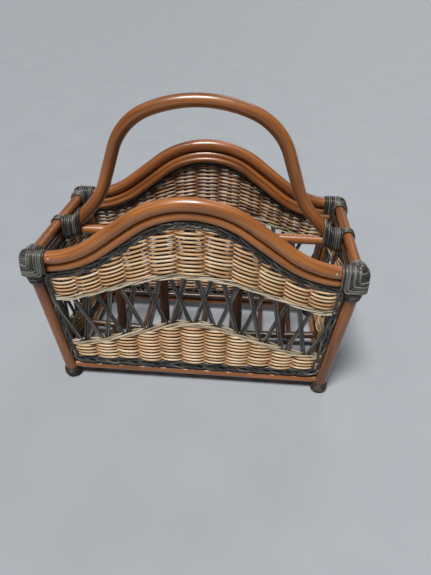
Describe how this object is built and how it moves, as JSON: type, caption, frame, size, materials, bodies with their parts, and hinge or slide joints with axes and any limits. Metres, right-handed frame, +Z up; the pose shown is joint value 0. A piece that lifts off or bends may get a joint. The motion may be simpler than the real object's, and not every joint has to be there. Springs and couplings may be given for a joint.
{
  "type": "magazine rack",
  "caption": "Open-topped rattan magazine rack: bent pole frame, two humped woven sides with open crossed-stake bands, a pole divider and a tall arched handle.",
  "frame": {"origin": "on the floor, in the middle of the rack, below the handle", "axes": "+X along the length to the right, +Y from the front side to the back side, +Z up"},
  "size_m": [0.4832, 0.2718, 0.4297],
  "materials": {
    "rattan_pole": "glossy lacquer",
    "natural_wicker": "satin",
    "black_wicker": "satin",
    "pale_twine": "satin",
    "binding": "satin",
    "foot_binding": "satin",
    "nail": "satin"
  },
  "bodies": {
    "root": {"back_border_braid": "black_wicker", "back_bottom_rail": "rattan_pole", "back_inner_bottom_pole": "rattan_pole", "back_inner_top_pole": "rattan_pole", "back_left_corner_binding": "binding", "back_left_foot_cap": "foot_binding", "back_left_post": "rattan_pole", "back_lower_weave": "natural_wicker", "back_right_corner_binding": "binding", "back_right_foot_cap": "foot_binding", "back_right_post": "rattan_pole", "back_second_pole": "rattan_pole", "back_stakes": "black_wicker", "back_top_pole": "rattan_pole", "back_twined_bands": "pale_twine", "back_upper_weave": "natural_wicker", "bottom_cross_poles": "rattan_pole", "divider_bottom_bar": "rattan_pole", "front_border_braid": "black_wicker", "front_bottom_rail": "rattan_pole", "front_inner_bottom_pole": "rattan_pole", "front_inner_top_pole": "rattan_pole", "front_left_corner_binding": "binding", "front_left_foot_cap": "foot_binding", "front_left_post": "rattan_pole", "front_lower_weave": "natural_wicker", "front_right_corner_binding": "binding", "front_right_foot_cap": "foot_binding", "front_right_post": "rattan_pole", "front_second_pole": "rattan_pole", "front_stakes": "black_wicker", "front_top_pole": "rattan_pole", "front_twined_bands": "pale_twine", "front_upper_weave": "natural_wicker", "handle": "rattan_pole", "inner_side_poles": "rattan_pole", "left_border_braid": "black_wicker", "left_bottom_rail": "rattan_pole", "left_centre_binding": "binding", "left_end_rail": "rattan_pole", "left_end_second_rail": "rattan_pole", "left_inner_divider_post": "rattan_pole", "left_lower_weave": "natural_wicker", "left_outer_divider_post": "rattan_pole", "left_stakes": "black_wicker", "left_twined_bands": "pale_twine", "left_upper_weave": "natural_wicker", "mid_rail": "rattan_pole", "right_border_braid": "black_wicker", "right_bottom_rail": "rattan_pole", "right_centre_binding": "binding", "right_end_rail": "rattan_pole", "right_end_second_rail": "rattan_pole", "right_inner_divider_post": "rattan_pole", "right_lower_weave": "natural_wicker", "right_outer_divider_post": "rattan_pole", "right_stakes": "black_wicker", "right_twined_bands": "pale_twine", "right_upper_weave": "natural_wicker", "top_pole_nails": "nail"}
  },
  "joints": []
}
